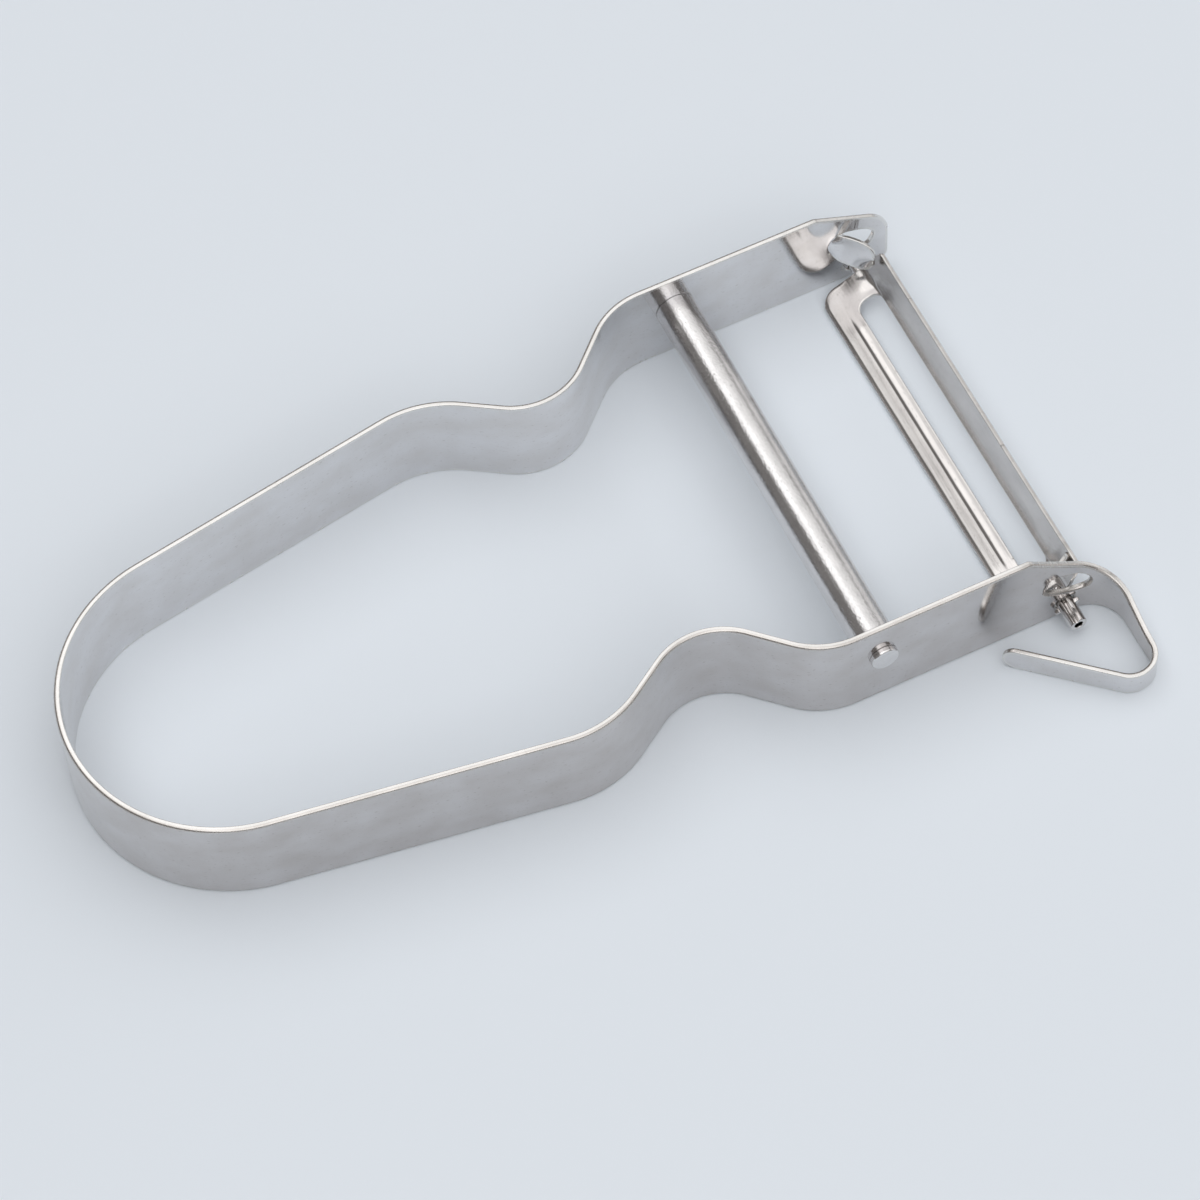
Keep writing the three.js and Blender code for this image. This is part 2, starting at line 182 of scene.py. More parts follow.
def edge_profile(thickness, front_radius, back_radius, steps=4):
    """A rounded edge: a quarter circle from the front face, a flat, and a quarter circle to the back face.
    Each row holds the way out, the height across the thickness, and the same two parts of the normal."""
    reach = max(front_radius, back_radius)
    turn = np.linspace(np.pi / 2, 0, steps + 1)
    front_out = reach - front_radius + front_radius * np.cos(turn)
    front_up = thickness / 2 - front_radius + front_radius * np.sin(turn)
    front = np.stack([front_out, front_up, np.cos(turn), np.sin(turn)], 1)
    turn = -turn[::-1]
    back_out = reach - back_radius + back_radius * np.cos(turn)
    back_up = back_radius - thickness / 2 + back_radius * np.sin(turn)
    back = np.stack([back_out, back_up, np.cos(turn), np.sin(turn)], 1)
    rows = np.concatenate([front, back])
    return rows[rows[:, 0] > 1e-6]

profile_check = edge_profile(0.7, 0.2, 0.1)
print("edge profile spans", profile_check[0, :2].round(3), "to", profile_check[-1, :2].round(3))

# %% Sheet with rounded edges
FACE_FRONT, FACE_EDGE, FACE_BACK, FACE_TURNED = range(4)
TURNED_BACK = -0.04
OPPOSED, AHEAD_SHARE, OPEN_GAP, GAP_SHARE = -0.3, 0.6, 10, 0.47

def rim_room(places, way_out, reach):
    """The share of the reach that each rim point has room for. Where other rim points lie ahead of it and
    face it, the nearest one leaves it a little less than half of the gap."""
    apart = places - places[:, None]
    ahead_by = np.einsum("ijk,ik->ij", apart, way_out)
    facing = way_out @ way_out.T < OPPOSED
    facing &= ahead_by > AHEAD_SHARE * np.linalg.norm(apart, axis=-1)
    return np.where(facing, ahead_by, OPEN_GAP).min(1) * GAP_SHARE / reach

def thick_sheet(points, normals, grain, faces, thickness, front_radius, back_radius):
    """Gives a sheet its thickness: each point moves half of it along its normal to either side. The sheet
    stops short of its outline by the larger radius, and the edge profile reaches out from there, as far as
    there is room, and joins the two faces. The last array says of what kind each face is."""
    count = len(points)
    start = faces.ravel()
    stop = np.roll(faces, -1, axis=1).ravel()
    alone = ~np.isin(start * count + stop, stop * count + start)
    rim, ahead = start[alone], stop[alone]
    following = np.full(count, -1)
    following[rim] = ahead
    leading = np.full(count, -1)
    leading[ahead] = rim
    row = np.full(count, -1)
    row[rim] = np.arange(len(rim))
    way_out = unit(np.cross(points[following[rim]] - points[leading[rim]], normals[rim]))
    room = rim_room(points[rim], way_out, max(front_radius, back_radius))
    room = np.minimum(1, np.minimum(room, np.minimum(room[row[ahead]], room[row[leading[rim]]])))
    front = points + normals * thickness / 2
    back = points - normals * thickness / 2
    profile = edge_profile(thickness, front_radius, back_radius)
    reach = room[:, None, None] * profile[:, :1]
    band = points[rim, None] + way_out[:, None] * reach + normals[rim, None] * profile[:, 1:2]
    band_normals = way_out[:, None] * profile[:, 2:3] + normals[rim, None] * profile[:, 3:]
    width = len(profile)
    band_ids = 2 * count + np.arange(len(rim) * width).reshape(-1, width)
    ids = np.concatenate([rim[:, None], band_ids, count + rim[:, None]], 1)
    beside = ids[row[ahead]]
    edge_faces = np.stack([beside[:, :-1], ids[:, :-1], ids[:, 1:], beside[:, 1:]], -1).reshape(-1, 4)
    all_points = np.concatenate([front, back, band.reshape(-1, 3)])
    all_normals = np.concatenate([normals, -normals, band_normals.reshape(-1, 3)])
    all_grain = np.concatenate([grain, grain, np.repeat(grain[rim], width, axis=0)])
    all_faces = np.concatenate([faces, faces[:, ::-1] + count, edge_faces])
    facing_up = np.concatenate([[1], profile[:, 3], [-1]])
    edge_kind = np.where(facing_up[:-1] + facing_up[1:] < TURNED_BACK, FACE_TURNED, FACE_EDGE)
    kind = np.concatenate([np.repeat([FACE_FRONT, FACE_BACK], len(faces)), np.tile(edge_kind, len(rim))])
    return all_points, all_normals, all_grain, all_faces, kind

print("kinds of faces", FACE_FRONT, FACE_EDGE, FACE_BACK, FACE_TURNED)

# %% Joining grids
SAME_PLACE = 0.0005

def grid_faces(rows, columns, closed=False):
    """Quads of a grid of points numbered row by row; a closed grid joins its last column to its first."""
    i, k = np.meshgrid(np.arange(rows - 1), np.arange(columns if closed else columns - 1), indexing="ij")
    after = (k + 1) % columns
    this_row, next_row = i * columns, (i + 1) * columns
    return np.stack([this_row + k, this_row + after, next_row + after, next_row + k], -1).reshape(-1, 4)

def join_sheets(sheets):
    """Joins sheets of (points, normals, grain, faces) along shared borders: points in one place become one,
    and a face that runs against its normal is turned round."""
    sizes = np.cumsum([0] + [len(sheet[0]) for sheet in sheets])
    points, normals, grain = (np.concatenate([sheet[k] for sheet in sheets]) for k in range(3))
    faces = np.concatenate([sheet[3] + first for sheet, first in zip(sheets, sizes)])
    places = np.round(points / SAME_PLACE).astype(np.int64)
    first, same = np.unique(places, axis=0, return_index=True, return_inverse=True)[1:]
    points, normals, grain, faces = points[first], normals[first], grain[first], same.ravel()[faces]
    across = np.cross(points[faces[:, 2]] - points[faces[:, 0]], points[faces[:, 3]] - points[faces[:, 1]])
    wrong = np.einsum("ij,ij->i", across, normals[faces[:, 0]]) < 0
    faces[wrong] = faces[wrong][:, ::-1]
    return points, normals, grain, faces

print("a 3 by 4 grid has", len(grid_faces(3, 4)), "faces")

# %% [markdown]
# ## The strip's path
# Seen from above, the strip runs from the far arm's end along the arm, through three bends to the butt, round
# it, and back along the near side to the hook. A free-hand spline would wobble on the straight runs, and
# steel bent over round tools makes straight lines and circles, so the path is made of just those. Any length
# along the path then gives a place and a direction.

# %% Lines and bends
ARC_STEP, FEWEST_POINTS = math.radians(2.5), 6

def arc(centre, radius, first, last):
    """Points on a circle: the centre plus the radius times the cosine and sine of evenly spaced angles."""
    angle = np.linspace(first, last, max(FEWEST_POINTS, int(abs(last - first) / ARC_STEP)))
    return np.asarray(centre) + radius * np.stack([np.cos(angle), np.sin(angle)], 1)

def bend(before, corner, after, radius):
    """A bend at a corner: the circle that touches both straight runs, between its touching points."""
    before, corner, after = (np.asarray(p, float) for p in (before, corner, after))
    back, on = unit(before - corner), unit(after - corner)
    half = math.acos(np.clip(back @ on, -1, 1)) / 2
    centre = corner + unit(back + on) * radius / math.sin(half)
    first = corner + back * radius / math.tan(half) - centre
    last = corner + on * radius / math.tan(half) - centre
    start = math.atan2(first[1], first[0])
    turn = math.atan2(last[1], last[0]) - start
    return arc(centre, radius, start, start + math.atan2(math.sin(turn), math.cos(turn)))

def fill_straights(corners, step=1.5):
    """Adds points along the straight runs, no further apart than the step, and none close to a corner."""
    gap = np.linalg.norm(np.diff(corners, axis=0), axis=1)
    length = np.concatenate([[0], np.cumsum(gap)])
    extra = np.arange(0, length[-1], step)
    near = np.abs(extra[:, None] - length).min(1) < 0.4 * step
    every = np.sort(np.concatenate([length, extra[~near]]))
    points = np.stack([np.interp(every, length, corners[:, 0]), np.interp(every, length, corners[:, 1])], 1)
    return points, every

print("points in a quarter bend", len(bend((0, 0), (9, 0), (9, 9), 3)))

# %% Path of the strip
PIVOT_X, BREAK_X, FAR_END_X = 105.35, 100.6, 109.9
BUTT_RADIUS, ARM_HALF = 18.0, 25.45
SHOULDER, WAIST, ARM_BEND = (51.1, 23.6), (64.3, 15.0), (75.1, ARM_HALF)
SHOULDER_RADIUS, WAIST_RADIUS, ARM_RADIUS = 12.5, 8.0, 9.2
FAR_SHIFT, NEAR_SHIFT = 0, 1.1  # the near side's bends sit closer to the head
HOOK_X, HOOK_CORNER_Y, HOOK_TIP = 110.948, -41.4, np.array([96.35, -28.35])
HOOK_BEND_RADIUS, HOOK_CORNER_RADIUS = 4.4, 2.85

def handle_side(shift):
    """Half of the handle on +Y: the butt's quarter, the shoulder, the waist and the bend into the arm."""
    centre = np.array([BUTT_RADIUS, 0])
    shoulder, waist, arm = np.array([SHOULDER, WAIST, ARM_BEND]) + [shift, 0]
    reach = shoulder - centre
    leave = math.atan2(reach[1], reach[0]) + math.acos(BUTT_RADIUS / np.linalg.norm(reach))
    tangent = centre + BUTT_RADIUS * np.array([math.cos(leave), math.sin(leave)])
    return np.concatenate([arc(centre, BUTT_RADIUS, math.pi, leave),
                           bend(tangent, shoulder, waist, SHOULDER_RADIUS),
                           bend(shoulder, waist, arm, WAIST_RADIUS),
                           bend(waist, arm, (BREAK_X, ARM_HALF), ARM_RADIUS)])

mirror = np.array([1, -1])
near_break_place, hook_corner_place = (BREAK_X, -ARM_HALF), (HOOK_X, HOOK_CORNER_Y)
hook_bend = bend(near_break_place, (HOOK_X, -ARM_HALF), hook_corner_place, HOOK_BEND_RADIUS)
hook_corner = bend((HOOK_X, -ARM_HALF), hook_corner_place, HOOK_TIP, HOOK_CORNER_RADIUS)
outline = np.concatenate([[(FAR_END_X, ARM_HALF), (BREAK_X, ARM_HALF)], handle_side(FAR_SHIFT)[::-1],
                          handle_side(NEAR_SHIFT)[1:] * mirror, [near_break_place],
                          hook_bend, hook_corner, [HOOK_TIP]])
path, path_length = fill_straights(outline)
heading = np.unwrap(np.arctan2(np.gradient(path[:, 1], path_length), np.gradient(path[:, 0], path_length)))
far_pivot = FAR_END_X - PIVOT_X
near_break = path_length[np.argmin(np.abs(path - near_break_place).sum(1))]
near_pivot = near_break + PIVOT_X - BREAK_X
print("strip length", round(path_length[-1], 1), "mm")

# %% [markdown]
# ## The strip's edges
# The strip is 13 mm wide up to the two breaks near the head. The far arm then slopes down to a rounded end,
# and the near side falls in a curve to the narrow hook. So the lower and upper edge are functions of the
# length along the strip, and a point of the sheet is a length and a height.

# %% Heights along the strip
STRIP_WIDTH, FAR_END_HEIGHT, END_CORNER = 13.0, 8.6, 2.4
HOOK_HEIGHT, HOOK_FALL, HOOK_POWER = 3.3, 18.0, 1.4
EDGE = 0.34  # how far the sheet stops short of the strip's outline, for its rounded edge

def drawn_in(radius, into):
    """How far a rounded corner has drawn in: the radius less the height of its circle."""
    into = np.clip(into, 0, radius)
    return radius - np.sqrt(radius ** 2 - into ** 2)

def strip_edges(length):
    """Lower and upper border of the sheet, an edge radius inside the strip: the full width, less the slope
    past the far break, the hook's fall, and the round ends."""
    x_far = FAR_END_X - length
    slope = (STRIP_WIDTH - FAR_END_HEIGHT) / (FAR_END_X - BREAK_X)
    high = STRIP_WIDTH - slope * np.maximum(x_far - BREAK_X, 0)
    left = np.clip(1 - (length - near_break) / HOOK_FALL, 0, 1) ** HOOK_POWER
    high = np.where(length > near_break, HOOK_HEIGHT + (STRIP_WIDTH - HOOK_HEIGHT) * left, high)
    end = drawn_in(END_CORNER - EDGE, x_far - (FAR_END_X - END_CORNER))
    tip = drawn_in(HOOK_HEIGHT / 2 - EDGE, length - (path_length[-1] - HOOK_HEIGHT / 2))
    return EDGE + end + tip, high - EDGE - end - tip

def on_strip(length, height):
    """The place and the inward normal of a point of the sheet: its length along the strip gives both x and y
    and the direction, and its height is z."""
    x, y = np.interp(length, path_length, path[:, 0]), np.interp(length, path_length, path[:, 1])
    angle = np.interp(length, path_length, heading)
    normal = np.stack([-np.sin(angle), np.cos(angle), np.zeros_like(angle)], -1)
    return np.stack([x, y, height], -1).reshape(-1, 3), normal.reshape(-1, 3)

break_lengths = np.array([FAR_END_X - BREAK_X, near_break])
print("lower and upper edges at the breaks", np.round(strip_edges(break_lengths), 2).tolist())

# %% [markdown]
# ## The strip's sheet
# Most of the sheet is a plain grid. Round the two holes in each arm a plain grid won't do, so there the
# points lie on rings that change evenly from the hole's outline to a rectangle, whose sides have the same
# points as the grids beside it.

# %% Plain runs of the sheet
LOW_ROWS, HIGH_ROWS = 6, 12
HEAD_BACK, FAR_FRONT, NEAR_FRONT = BREAK_X - PIVOT_X, 3.25, 4.1
FAR_PART, NEAR_PART_BACK, NEAR_PART_FRONT, PART_BLEND, PART_LIMIT = 4.0, 5.45, 2.45, 20, 0.6
CLOSE, ROUND_SHARE = 0.05, 0.9
far_head = far_pivot - FAR_FRONT
near_head = near_pivot + NEAR_FRONT

def parting(length):
    """Height of the line that parts the two holes of an arm: level, but sloping at the lower near window."""
    return np.interp(length, [near_break - PART_BLEND, near_break, near_head],
                     [FAR_PART, NEAR_PART_BACK, NEAR_PART_FRONT])

def strip_rows(low, high, lengths):
    """Heights from the lower to the upper edge, closer together below the line that parts the two holes."""
    middle = np.minimum(parting(lengths), low + PART_LIMIT * (high - low))
    below = low[:, None] + (middle - low)[:, None] * np.linspace(0, 1, LOW_ROWS + 1)
    above = middle[:, None] + (high - middle)[:, None] * np.linspace(0, 1, HIGH_ROWS + 1)[1:]
    return np.concatenate([below, above], 1)

def plain_run(lengths):
    """A grid over the given lengths and the strip's own heights."""
    heights = strip_rows(*strip_edges(lengths), lengths)
    along = np.repeat(lengths[:, None], heights.shape[1], axis=1)
    points, normals = on_strip(along, heights)
    return points, normals, np.stack([along.ravel(), heights.ravel()], 1), grid_faces(*heights.shape)

def lengths_between(first, last):
    """The path's own lengths between two lengths, with both ends."""
    inside = path_length[(path_length > first + CLOSE) & (path_length < last - CLOSE)]
    return np.concatenate([[first], inside, [last]])

def into_end(first, reach, steps=9):
    """Lengths that close in on a rounded end: sine steps keep the round smooth, and stop short of its tip."""
    return first + reach * np.sin(np.linspace(0, ROUND_SHARE, steps) * np.pi / 2)

tip_start = path_length[-1] - HOOK_HEIGHT / 2
far_tip_run = (END_CORNER - into_end(0, END_CORNER - EDGE))[::-1]
far_tip_run = np.concatenate([far_tip_run[far_tip_run < far_head - CLOSE], [far_head]])
hook_tip_run = into_end(tip_start, HOOK_HEIGHT / 2 - EDGE)
hook_run = np.concatenate([lengths_between(near_head, tip_start), hook_tip_run[1:]])
handle_run = lengths_between(FAR_END_X - BREAK_X, near_break)
strip_sheets = [plain_run(far_tip_run), plain_run(handle_run), plain_run(hook_run)]
print("plain runs", [len(sheet[0]) for sheet in strip_sheets])

# %% Rings round the holes
PIVOT_Z, PIN_HOLE_RADIUS = 2.2, 1.1
RING_STEPS, RING_START = 24, np.radians(205)
ring_share = np.array([0, 0.03, 0.1, 0.2, 0.33, 0.48, 0.65, 0.82, 1.0])

def strip_length(side, head):
    """Length along the strip of a point of an arm's head, from its distance past the pivot."""
    return (far_pivot if side > 0 else near_pivot) - side * head

def ring_outline(side, lower):
    """A loop in head length and height: up the back, along the top, down the front, back along the bottom."""
    steps = LOW_ROWS if lower else HIGH_ROWS
    front_at = FAR_FRONT if side > 0 else NEAR_FRONT
    share, run = np.linspace(0, 1, steps + 1)[:-1], np.linspace(HEAD_BACK, front_at, RING_STEPS + 1)
    low, high = strip_edges(strip_length(side, run))
    part = parting(strip_length(side, run))
    low, high = (low, part) if lower else (part, high)
    back = np.stack([np.full(steps, HEAD_BACK), low[0] + (high[0] - low[0]) * share], 1)
    front = np.stack([np.full(steps, front_at), high[-1] + (low[-1] - high[-1]) * share], 1)
    return np.concatenate([back, np.stack([run, high], 1)[:-1], front, np.stack([run, low], 1)[:0:-1]])

def ring_sheet(hole, outer, side):
    """Rings between a hole's loop and an outer loop, a share of the way from one to the other."""
    loop = hole + (outer - hole) * ring_share[:, None, None]
    along = strip_length(side, loop[..., 0])
    points, normals = on_strip(along, loop[..., 1])
    grain = np.stack([along.ravel(), loop[..., 1].ravel()], 1)
    return points, normals, grain, grid_faces(*along.shape, closed=True)

pin_turn = RING_START - np.linspace(0, 2 * np.pi, 2 * (RING_STEPS + LOW_ROWS), endpoint=False)
hole_radius = PIN_HOLE_RADIUS + EDGE
pin_hole = np.stack([hole_radius * np.cos(pin_turn), PIVOT_Z + hole_radius * np.sin(pin_turn)], 1)
strip_sheets += [ring_sheet(pin_hole, ring_outline(side, True), side) for side in (1, -1)]
print("points round each pin hole", len(pin_hole))

# %% Windows
# Each oval has its middle at x and z, half sizes long and high, and its crease a root behind the middle.
far_tab = SimpleNamespace(side=1, x=105.15, z=6.55, long=2.85, high=1.85, root=2.65, tilt=math.radians(18.5),
                          bend=math.radians(40), twist=0.16, crease=0.6, curl=0.3)
near_tab = SimpleNamespace(side=-1, x=105.5, z=5.85, long=2.95, high=1.5, root=3.05, tilt=math.radians(22),
                           bend=math.radians(33), twist=0.1, crease=0.3, curl=0)
OVAL_POWER = 0.8

def swell(value, power=OVAL_POWER):
    """A number between -1 and 1 raised to a power below one, with its sign kept, which fills out an oval."""
    return np.sign(value) * np.abs(value) ** power

def window_turn(tab):
    """Angles round an oval from the lower end of the crease: up the crease first, then round the rest."""
    root = math.acos(-(tab.root / (tab.long + EDGE)) ** (1 / OVAL_POWER))
    crease = np.linspace(2 * np.pi - root, root, HIGH_ROWS + 1)
    rest = np.linspace(root, -root, 2 * RING_STEPS + HIGH_ROWS + 1)
    return crease, np.concatenate([crease[:-1], rest[:-1]])

def oval(tab, turn):
    """Places on an oval that is an edge radius larger than its tab: the half sizes times the swelled cosine
    and sine."""
    return (tab.long + EDGE) * swell(np.cos(turn)), (tab.high + EDGE) * swell(np.sin(turn))

def window_loop(tab):
    """The whole oval, tilted about its middle."""
    ahead, up = oval(tab, window_turn(tab)[1])
    cos, sin = math.cos(tab.tilt), math.sin(tab.tilt)
    return np.stack([tab.x - PIVOT_X + ahead * cos + up * sin, tab.z - ahead * sin + up * cos], 1)

for tab in (far_tab, near_tab):
    strip_sheets.append(ring_sheet(window_loop(tab), ring_outline(tab.side, False), tab.side))
print("points round each window", len(window_loop(far_tab)))

# %% [markdown]
# ## Stop tabs
# The oval cut out of each arm isn't thrown away. It stays joined at its rounded back end and is bent inwards,
# where it stops the blade. A straight fold would leave a straight crease, and a round punch leaves a round
# one. So the fold starts on the oval's own outline. Its angle grows over the crease, a few tenths of a
# millimetre, and a point's place is the sum of small steps in the direction that the tab has at each of them.
# Past the crease the tab is nearly flat: it is twisted a little, and the far one's lower end curls in.

# %% Bent tabs
TAB_KERF, TAB_ROWS, LAST_ROW, BACK_LIMIT, TAB_POWER = 0.04, 34, 0.93, -0.93, 2.5
FLARE, FLATTEN = 0.35, 1.8
CURL_FROM, CURL_OVER = 3.0, 2.0

def smooth(value, first, last):
    """Goes from 0 to 1 between two values with no corner at either."""
    share = np.clip((value - first) / (last - first), 0, 1)
    return share * share * (3 - 2 * share)

def tab_rows(tab, root_half):
    """The tab laid flat: how far each row is from the back, and half of its width. The width is a filled-out
    oval's, and flares to the crease's own width at the back."""
    inset = TAB_KERF + EDGE
    out = (tab.root + tab.long - inset) * (1 - np.cos(np.linspace(0, LAST_ROW * np.pi, TAB_ROWS))) / 2
    flat = np.clip((out - tab.root) / (tab.long - inset), BACK_LIMIT, 1)
    half = (tab.high - inset) * (1 - np.abs(flat) ** TAB_POWER) ** (1 / TAB_POWER)
    return out, half + (root_half - half[0]) * np.exp(-(out / FLARE) ** 2)

def bent_line(tab, longest, steps=500):
    """A line that bends inwards: its angle grows over the crease, and a place is the sum of small steps."""
    fine = np.linspace(0, longest, steps)
    angle = tab.bend * smooth(fine, 0, tab.crease)
    ahead = np.concatenate([[0], np.cumsum(np.cos(angle[:-1])) * fine[1]])
    inward = np.concatenate([[0], np.cumsum(np.sin(angle[:-1])) * fine[1]])
    return fine, ahead, inward

def bent_tab(tab):
    """An oval tab: rows across it, whose distance from the round crease is laid along a line that bends
    inwards. The crease's roundness fades along the tab."""
    crease, crease_height = oval(tab, window_turn(tab)[0])
    root_half = crease_height.max()
    out, half = tab_rows(tab, root_half)
    share = smooth(out, 0, FLATTEN)[:, None]
    start = crease + (crease.mean() - crease) * share
    away = out[:, None] - (start + tab.root) * share
    fine, ahead, inward = bent_line(tab, away.max())
    along = start + np.interp(away, fine, ahead)
    height = half[:, None] * crease_height / root_half
    low_side = np.clip(-crease_height / root_half, 0, 1) ** 2
    low_end = low_side * np.clip((out[:, None] - CURL_FROM) / CURL_OVER, 0, 1)
    depth = np.interp(away, fine, inward) - tab.twist * height * share + tab.curl * low_end
    forward = np.array([math.cos(tab.tilt), 0, -math.sin(tab.tilt)])
    upward = np.array([math.sin(tab.tilt), 0, math.cos(tab.tilt)])
    inside = np.array([0, -tab.side, 0])
    points = np.array([tab.x, tab.side * ARM_HALF, tab.z]) + along[..., None] * forward
    points = points + height[..., None] * upward + depth[..., None] * inside
    normals = unit(np.cross(np.gradient(points, axis=0), np.gradient(points, axis=1)))
    normals = normals * np.sign(normals @ inside)[..., None]
    normals[0] = inside
    grain = np.stack([out[:, None] + 0 * height, height + tab.z], -1)
    return points.reshape(-1, 3), normals.reshape(-1, 3), grain.reshape(-1, 2), grid_faces(*points.shape[:2])

strip_sheets += [bent_tab(far_tab), bent_tab(near_tab)]
strip_sheet = join_sheets(strip_sheets)
print("joined sheet", len(strip_sheet[0]), "points")

# %% [markdown]
# ## Steel finishes
# All the metal here is stainless steel, and most of what differs is how it was worked. The strip's faces keep
# faint grinding lines across them, the cut edges are rubbed bright, the drawn tube is finely pitted, and the
# blade is polished along its length. The strip's outer faces and the outer side of its edges are the same
# steel painted
# darker than the rest: painted shade. Strong speckle would look like dirt, so each finish is a metal whose
# colour, gloss and height vary only a little, with noise that is stretched where the working left lines.

# %% Finish helpers
NOISE_LOW, NOISE_HIGH = 0.3, 0.7
SCUFF_GRAIN, SCUFF_FROM, SCUFF_FULL = (180, 420), 0.62, 0.74
SCUFF_SHADE, SCUFF_DULL = 0.8, 0.15
BUMP_DISTANCE = 0.00002
MIX_FIRST, MIX_SECOND, MIX_RESULT = 6, 7, 2  # a Mix node's colour sockets share names, so they go by number

def add_node(material, kind, inputs, **settings):
    """Adds a shader node. Each input is either a value or the output of another node."""
    made = material.node_tree.nodes.new(kind)
    for name, value in settings.items():
        setattr(made, name, value)
    for name, value in inputs.items():
        if isinstance(value, bpy.types.NodeSocket):
            material.node_tree.links.new(value, made.inputs[name])
        else:
            made.inputs[name].default_value = value
    return made

def grain_noise(material, along, across):
    """Noise on the grain map: `along` and `across` are how often it changes in 100 mm each way."""
    grain_map = add_node(material, "ShaderNodeUVMap", {}, uv_map="grain")
    stretch = add_node(material, "ShaderNodeMapping",
                       {"Vector": grain_map.outputs["UV"], "Scale": (along, across, 1)})
    noise = add_node(material, "ShaderNodeTexNoise",
                     {"Vector": stretch.outputs["Vector"], "Scale": 1.0, "Detail": 3.0})
    return noise.outputs["Fac"]

def between(material, noise, low, high, first=NOISE_LOW, last=NOISE_HIGH):
    """A number that goes from low to high while a noise goes from the first value to the last."""
    spread = add_node(material, "ShaderNodeMapRange",
                      {"Value": noise, "From Min": first, "From Max": last, "To Min": low, "To Max": high})
    return spread.outputs["Result"]

def steel(name, dark, pale, glossy, dull, grain, patches, height, wear=1.0):
    """A steel: its colour goes from dark to pale with broad patches, and its gloss and height follow the fine
    grain. Small scuffs, where a third noise is high, are darker and duller, as strongly as `wear` says."""
    material = bpy.data.materials.new(name)
    material.use_nodes = True
    shader = material.node_tree.nodes["Principled BSDF"]
    shader.inputs["Metallic"].default_value = 1
    fine = grain_noise(material, *grain)
    broad = grain_noise(material, *patches)
    ramp = add_node(material, "ShaderNodeValToRGB", {"Fac": broad})
    for stop, place, colour in zip(ramp.color_ramp.elements, (NOISE_LOW, NOISE_HIGH), (dark, pale)):
        stop.position = place
        stop.color = (*colour, 1)
    bump = add_node(material, "ShaderNodeBump",
                    {"Height": fine, "Strength": height, "Distance": BUMP_DISTANCE})
    scuffs = between(material, grain_noise(material, *SCUFF_GRAIN), 0, wear, SCUFF_FROM, SCUFF_FULL)
    worn = add_node(material, "ShaderNodeMix", {"Factor": scuffs}, data_type="RGBA")
    worn.inputs[MIX_SECOND].default_value = (*[SCUFF_SHADE * part for part in dark], 1)
    gloss = add_node(material, "ShaderNodeMath",
                     {0: scuffs, 1: SCUFF_DULL, 2: between(material, fine, glossy, dull)},
                     operation="MULTIPLY_ADD")
    links = material.node_tree.links
    links.new(ramp.outputs["Color"], worn.inputs[MIX_FIRST])
    links.new(worn.outputs[MIX_RESULT], shader.inputs["Base Color"])
    links.new(gloss.outputs["Value"], shader.inputs["Roughness"])
    links.new(bump.outputs["Normal"], shader.inputs["Normal"])
    return material

print("scuffs cover noise above", SCUFF_FROM)

# %% Frame strip
STRIP_THICKNESS, INNER_EDGE = 0.698, 0.1
EDGE_WEAR = 0.2
FACE_GRAIN, FACE_PATCHES, EDGE_GRAIN, EDGE_PATCHES = (420, 30), (18, 26), (120, 120), (20, 20)
inner_steel = steel("bright_inner_face", (0.68, 0.665, 0.66), (0.76, 0.755, 0.765), 0.07, 0.11,
                    FACE_GRAIN, FACE_PATCHES, 0.04)
# The outer faces are the inner faces' steel, painted darker: painted shade for the darker surroundings they
# mirror.
outer_steel = steel("painted_shade_outer_face", (0.565, 0.54, 0.53), (0.655, 0.64, 0.64), 0.07, 0.11,
                    FACE_GRAIN, FACE_PATCHES, 0.04)
strip_edge = steel("rubbed_cut_edge", (0.72, 0.71, 0.69), (0.81, 0.80, 0.785), 0.18, 0.3,
                   EDGE_GRAIN, EDGE_PATCHES, 0.1, EDGE_WEAR)
# The edge faces turned to the outer side are the cut edge's steel painted darker and browner: painted shade.
shaded_edge_steel = steel("painted_shade_outer_edge", (0.55, 0.525, 0.50), (0.66, 0.635, 0.61), 0.2, 0.32,
                    EDGE_GRAIN, EDGE_PATCHES, 0.1, EDGE_WEAR)
strip_points, strip_normals, strip_grain, strip_faces, strip_kind = thick_sheet(
    *strip_sheet, STRIP_THICKNESS, INNER_EDGE, EDGE)
frame_strip = make_piece("bent_frame_strip", strip_points, strip_normals, strip_grain, [strip_faces],
                         [inner_steel, strip_edge, outer_steel, shaded_edge_steel], strip_kind)
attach(frame_strip, "frame")
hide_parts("frame_strip")
print("strip box", strip_points.min(0).round(2), strip_points.max(0).round(2))

# %% [markdown]
# ## Turned pieces
# The crossbar is a tube on a rivet. Both are round, so each is a profile carried round an axis. A Screw
# modifier could do that too, but not the seam that the blade's pins need later. The corners of the profile
# are small arcs, because even a cut tube has a slightly broken edge, and a short lead beside each arc keeps
# the flats flat.

# %% Profiles and turning
SEAM_HALF, SEAM_POWER = 0.27, 6

def rounded_profile(corners, radii, steps=5, lead=0.03):
    """A line through corners in (axis, radius), each rounded by a circle that touches both of its sides."""
    rows = [np.asarray(corners[0], float)[None]]
    for before, corner, after, radius in zip(corners, corners[1:], corners[2:], radii):
        round_off = bend(before, corner, after, radius)
        keep = np.linspace(0, len(round_off) - 1, steps + 1).round().astype(int)
        back = unit(np.subtract(before, corner).astype(float))
        on = unit(np.subtract(after, corner).astype(float))
        rows += [round_off[:1] + back * lead, round_off[keep], round_off[-1:] + on * lead]
    return np.concatenate(rows + [np.asarray(corners[-1], float)[None]])

def grid_normals(points, closed_rows):
    """Normals of a grid that is closed across its columns: the cross product of its two directions."""
    across = np.roll(points, -1, axis=1) - np.roll(points, 1, axis=1)
    if closed_rows:
        along = np.roll(points, -1, axis=0) - np.roll(points, 1, axis=0)
    else:
        along = np.gradient(points, axis=0)
    return unit(np.cross(along, across))

